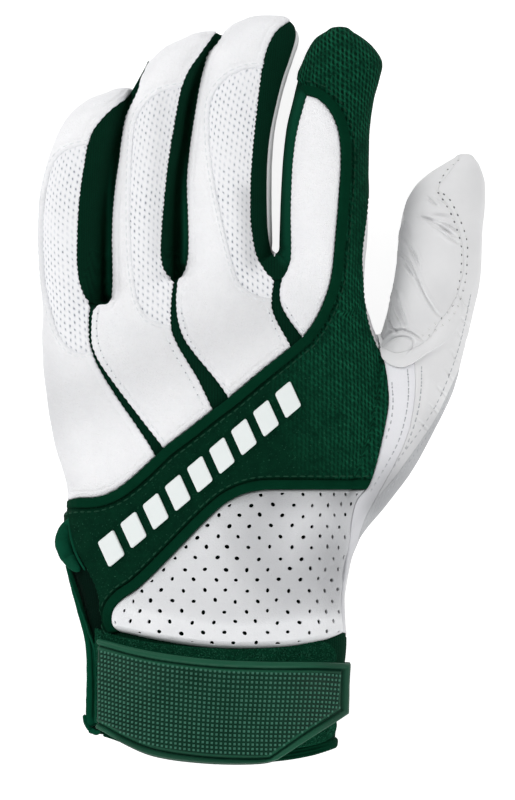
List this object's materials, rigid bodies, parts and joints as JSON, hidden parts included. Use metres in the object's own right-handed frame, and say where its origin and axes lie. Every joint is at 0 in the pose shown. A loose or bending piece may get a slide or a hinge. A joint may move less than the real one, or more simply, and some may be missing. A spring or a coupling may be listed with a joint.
{
  "type": "batting glove",
  "caption": "Left-hand batting glove of white leather with green knit cover, finger side strips, vented wrist panel and a wrap-over wrist strap that swings open.",
  "frame": {"origin": "middle of the footprint on the table the glove lies on, palm down", "axes": "+Y towards the fingertips, +X towards the thumb, +Z out of the back of the hand"},
  "size_m": [0.1406, 0.2348, 0.0439],
  "materials": {
    "white_leather": "soft pebbled",
    "grey_leather": "soft smooth",
    "white_mesh": "open mesh knit",
    "green_knit": "stretch knit",
    "green_mesh": "spacer mesh knit",
    "green_binding": "brushed felt",
    "green_rubber": "moulded dots",
    "green_pile": "hook and loop pile",
    "white_rubber": "satin"
  },
  "bodies": {
    "glove": {"pinky_back_panel": "white_leather", "ring_back_panel": "white_leather", "middle_back_panel": "white_leather", "index_back_insert": "white_leather", "vent_panel": "white_leather", "wrist_side_panel": "white_leather", "palm_leather": "grey_leather", "thumb_palm_panel": "grey_leather", "thumb_front_panel": "grey_leather", "thumb_outer_panel": "grey_leather", "thumb_web_binding": "grey_leather", "pinky_mesh_window": "white_mesh", "ring_mesh_window": "white_mesh", "middle_mesh_window": "white_mesh", "thumb_side_mesh": "white_mesh", "fourchette_pinky_ring": "green_knit", "fourchette_ring_middle": "green_knit", "fourchette_middle_index": "green_knit", "knuckle_gusset_pinky_ring": "green_knit", "knuckle_gusset_ring_middle": "green_knit", "knuckle_gusset_middle_index": "green_knit", "cuff_back_band": "green_knit", "cuff_palm_band": "green_knit", "slit_gusset": "green_knit", "mesh_cover": "green_mesh", "cover_upper_binding": "green_binding", "cover_lower_binding": "green_binding", "cuff_hem_binding": "green_binding", "slit_edge_binding": "green_binding", "slit_tab": "green_rubber", "loop_patch": "green_pile", "trim_bar_1": "white_rubber", "trim_bar_2": "white_rubber", "trim_bar_3": "white_rubber", "trim_bar_4": "white_rubber", "trim_bar_5": "white_rubber", "trim_bar_6": "white_rubber", "trim_bar_7": "white_rubber", "trim_bar_8": "white_rubber", "trim_bar_9": "white_rubber"},
    "strap": {"strap_hook_patch": "green_pile", "strap_backing": "green_binding", "strap_border": "green_rubber", "strap_grip_face": "green_rubber"}
  },
  "joints": [
    {"name": "strap_hinge", "type": "hinge", "parent": "glove", "child": "strap", "pos_m": [-0.05186, -0.09818, 0.03508], "axis": [0, -1, 0], "range_deg": [0, 140]}
  ]
}
